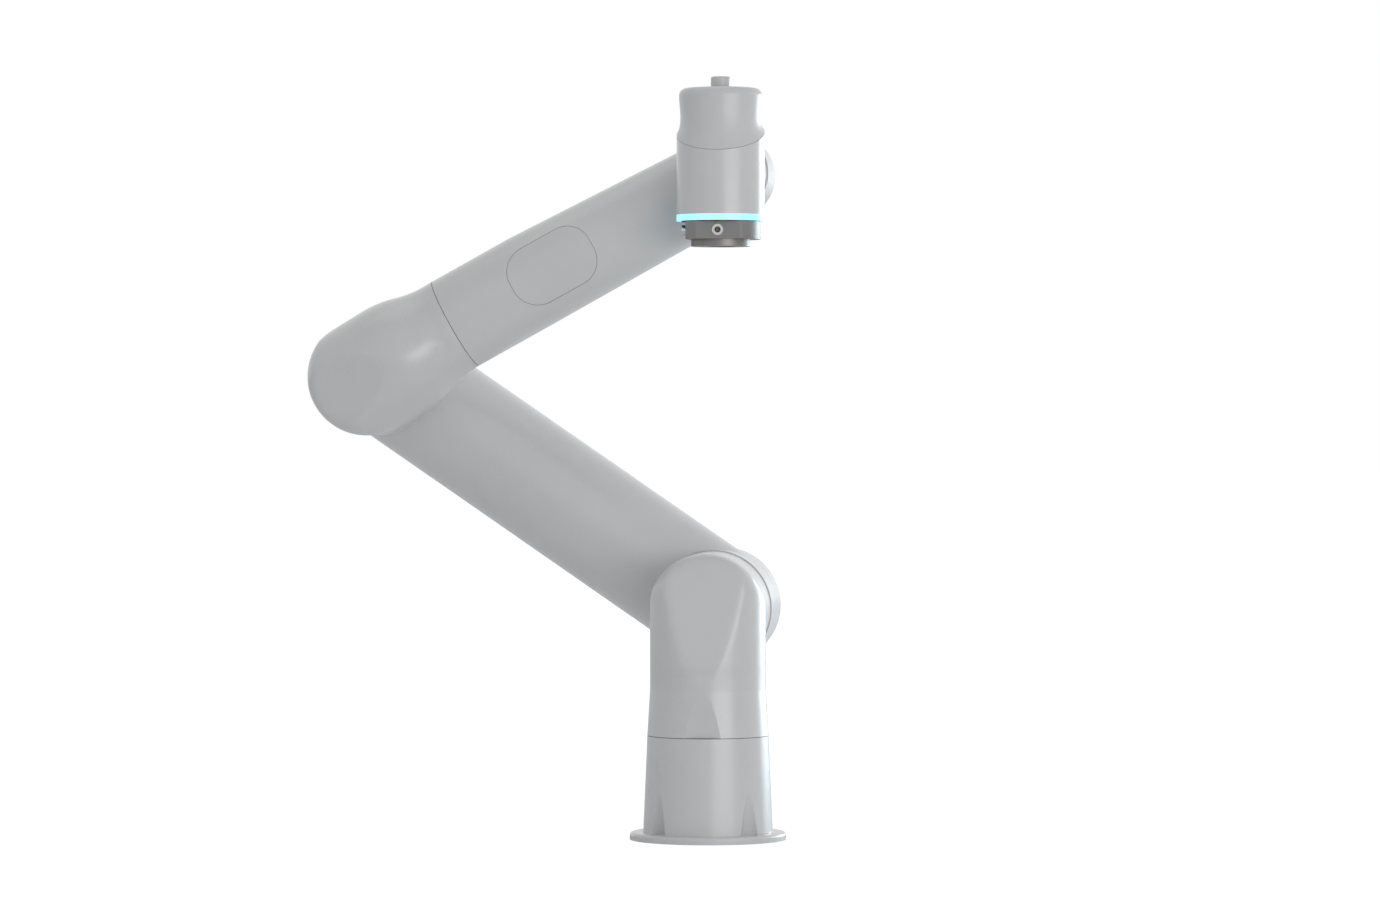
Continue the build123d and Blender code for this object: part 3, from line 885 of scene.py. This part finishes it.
class ARM_OT_socket_inserts(bpy.types.Operator):
    """Adds the black insert and the gold pins in each round socket"""

    bl_idname = "arm.socket_inserts"
    bl_label = "Socket inserts and pins"

    def execute(self, context):
        """Two small sockets on the tool and the large one on the back of the base."""
        seals = context.scene.arm_seals
        tool = (seals.tool_bore / 2, seals.tool_recess, seals.tool_pins, seals.tool_pin)
        cable = (seals.cable_bore / 2, seals.cable_recess, seals.cable_pins, seals.cable_pin)
        self.socket("front_tool_socket", FRONT, "tool", *tool)
        self.socket("side_tool_socket", LEFT, "tool", *tool)
        self.socket("base_connector", REAR, "base", *cable)
        return {"FINISHED"}

    def socket(self, node, outwards, body, bore, recess, pins, pin):
        """The dished insert on a socket's face, and its pins; bore is a radius and pin a diameter."""
        low, high = (Vector(corner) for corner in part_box(node))
        middle = (low + high) / 2
        half = (high - low) / 2
        mouth = middle + Vector(outwards[axis] * half[axis] for axis in range(3))
        seat = mouth - outwards * recess
        depth = recess * INSERT_DEPTH
        insert = self.insert(bore, depth)
        to_place(insert, seat + outwards * (depth / 2 + INSERT_PLAY), outwards)
        finish_piece(insert, f"{node}_insert", body, "dark_plastic")
        length = recess * PIN_LENGTH
        group = self.pins(bore, length, pins, pin)
        to_place(group, seat + outwards * (INSERT_PLAY + depth * PIN_FOOT + length / 2), outwards)
        finish_piece(group, f"{node}_pins", body, "pin_gold")

    def insert(self, bore, depth):
        """A disc along Z whose outer face is dished inside a rim."""
        insert = add_disc(bore - INSERT_PLAY, depth, INSERT_SIDES)
        edit_faces(insert, lambda centre, normal: normal.z > FACING)
        bpy.ops.mesh.inset(thickness=bore * INSERT_RIM)
        bpy.ops.transform.translate(value=(0, 0, -depth * INSERT_DISH))
        bpy.ops.object.mode_set(mode="OBJECT")
        self.soften(insert, bore * INSERT_EDGE)
        return insert

    def pins(self, bore, length, pins, pin):
        """One pin on the axis and the others copied from it on a circle round it."""
        first = add_disc(pin / 2, length, PIN_SIDES)
        self.soften(first, pin * PIN_EDGE)
        copies = [first]
        for turn in (2 * pi * k / pins for k in range(pins)):
            copy = bpy.data.objects.new("pin", first.data.copy())
            bpy.context.scene.collection.objects.link(copy)
            copy.location = Vector((cos(turn), sin(turn), 0)) * bore * PIN_CIRCLE
            copies.append(copy)
        return joined(copies)

    def soften(self, piece, width):
        """Bevels the sharp edges of a small turned piece."""
        edge = piece.modifiers.new("edge", "BEVEL")
        edge.width = width
        edge.segments = 2
        edge.limit_method = "ANGLE"
        bpy.ops.object.modifier_apply(modifier=edge.name)


class ARM_OT_stage(bpy.types.Operator):
    """Sets the pale floor, the soft lamps and the camera at the photograph's angle"""

    bl_idname = "arm.stage"
    bl_label = "Studio and camera"

    def execute(self, context):
        """Floor, room, camera and lamps, with plain colours in the render."""
        stage = context.scene.arm_stage
        self.floor()
        self.world(stage)
        self.camera(stage)
        powers = {"rim_lamp": stage.rim_power, "fill_lamp": stage.fill_power, "top_lamp": stage.top_power}
        for name, power in powers.items():
            self.lamp(name, power)
        context.scene.view_settings.view_transform = "Standard"
        return {"FINISHED"}

    def floor(self):
        """A wide pale floor just under the foot, lifted to white for the camera alone."""
        deselect_all()
        bpy.ops.mesh.primitive_plane_add(size=FLOOR_SIZE, location=(0, 0, 0))
        floor = bpy.context.active_object
        floor.name = "floor"
        floor.location.z = -FLOOR_DROP
        bpy.ops.object.transform_apply(location=True)
        material, tree, shader = new_material("floor_white")
        set_inputs(shader, {"Base Color": FLOOR_COLOUR, "Roughness": FLOOR_ROUGHNESS})
        glow = add_node(tree, "ShaderNodeEmission", Color=WHITE, Strength=FLOOR_GLOW)
        rays = tree.nodes.new("ShaderNodeLightPath")
        share = calculate(tree, "MULTIPLY", rays.outputs["Is Camera Ray"], FLOOR_GLOW_SHARE)
        show_mixed(tree, share, shader, glow, find_node(tree, "OUTPUT_MATERIAL"))
        floor.data.materials.append(material)

    def world(self, stage):
        """An even room light that the camera, gloss and glass see as white."""
        world = bpy.data.worlds.new("studio")
        world.use_nodes = True
        bpy.context.scene.world = world
        tree = world.node_tree
        room = find_node(tree, "BACKGROUND")
        set_inputs(room, {"Color": ROOM_COLOUR, "Strength": stage.ambient})
        white = add_node(tree, "ShaderNodeBackground", Color=WHITE, Strength=1.0)
        rays = tree.nodes.new("ShaderNodeLightPath")
        seen = calculate(tree, "MAXIMUM", rays.outputs["Is Camera Ray"], rays.outputs["Is Glossy Ray"])
        seen = calculate(tree, "MAXIMUM", seen, rays.outputs["Is Transmission Ray"])
        show_mixed(tree, seen, room, white, find_node(tree, "OUTPUT_WORLD"))

    def camera(self, stage):
        """The camera at the photograph's distance, height and angle."""
        data = bpy.data.cameras.new("photo_camera")
        data.lens = stage.lens
        data.sensor_width = SENSOR_WIDTH
        camera = bpy.data.objects.new("photo_camera", data)
        bpy.context.scene.collection.objects.link(camera)
        ahead = Vector((-sin(stage.azimuth), cos(stage.azimuth), 0))
        right = Vector((cos(stage.azimuth), sin(stage.azimuth), 0))
        camera.location = ahead * -stage.distance - right * stage.sideways + UP * stage.height
        camera.rotation_euler = Euler((pi / 2 - stage.drop, 0.0, stage.azimuth))
        bpy.context.scene.camera = camera

    def lamp(self, name, power):
        """A soft rectangular lamp that points at the arm."""
        place, size, colour = LAMPS[name]
        data = bpy.data.lights.new(name, "AREA")
        data.shape = "RECTANGLE"
        data.size, data.size_y = size
        data.energy = power
        data.color = colour
        lamp = bpy.data.objects.new(name, data)
        bpy.context.scene.collection.objects.link(lamp)
        lamp.location = place
        lamp.rotation_euler = (LAMP_TARGET - Vector(place)).to_track_quat("-Z", "Y").to_euler()


class ARM_PT_panel(bpy.types.Panel):
    """Shows a button for each operator and the arm's settings"""

    bl_label = "Robot Arm"
    bl_idname = "ARM_PT_panel"
    bl_space_type = "VIEW_3D"
    bl_region_type = "UI"
    bl_category = "Robot Arm"

    def draw(self, context):
        """A button for each operator, then a box for each group of settings."""
        for operator in OPERATORS:
            self.layout.operator(operator.bl_idname)
        for label in SETTINGS:
            settings = getattr(context.scene, label)
            box = self.layout.box()
            for name in settings.__annotations__:
                box.prop(settings, name)


SETTINGS = {"arm_paint": ArmPaint, "arm_seals": ArmSeals, "arm_stage": ArmStage}
OPERATORS = (
    ARM_OT_finish_castings,
    ARM_OT_joint_seals,
    ARM_OT_cover_gaskets,
    ARM_OT_socket_inserts,
    ARM_OT_stage,
)


def register():
    """Registers the settings, the operators and the panel."""
    for settings in SETTINGS.values():
        bpy.utils.register_class(settings)
    for operator in OPERATORS:
        bpy.utils.register_class(operator)
    bpy.utils.register_class(ARM_PT_panel)
    for label, settings in SETTINGS.items():
        setattr(bpy.types.Scene, label, PointerProperty(type=settings))


def unregister():
    """Undoes register."""
    for label in SETTINGS:
        delattr(bpy.types.Scene, label)
    bpy.utils.unregister_class(ARM_PT_panel)
    for operator in reversed(OPERATORS):
        bpy.utils.unregister_class(operator)
    for settings in SETTINGS.values():
        bpy.utils.unregister_class(settings)


def main():
    """Dresses the arm, operator by operator."""
    register()
    for operator in OPERATORS:
        group, name = operator.bl_idname.split(".")
        getattr(getattr(bpy.ops, group), name)()


if __name__ == "__main__":
    main()
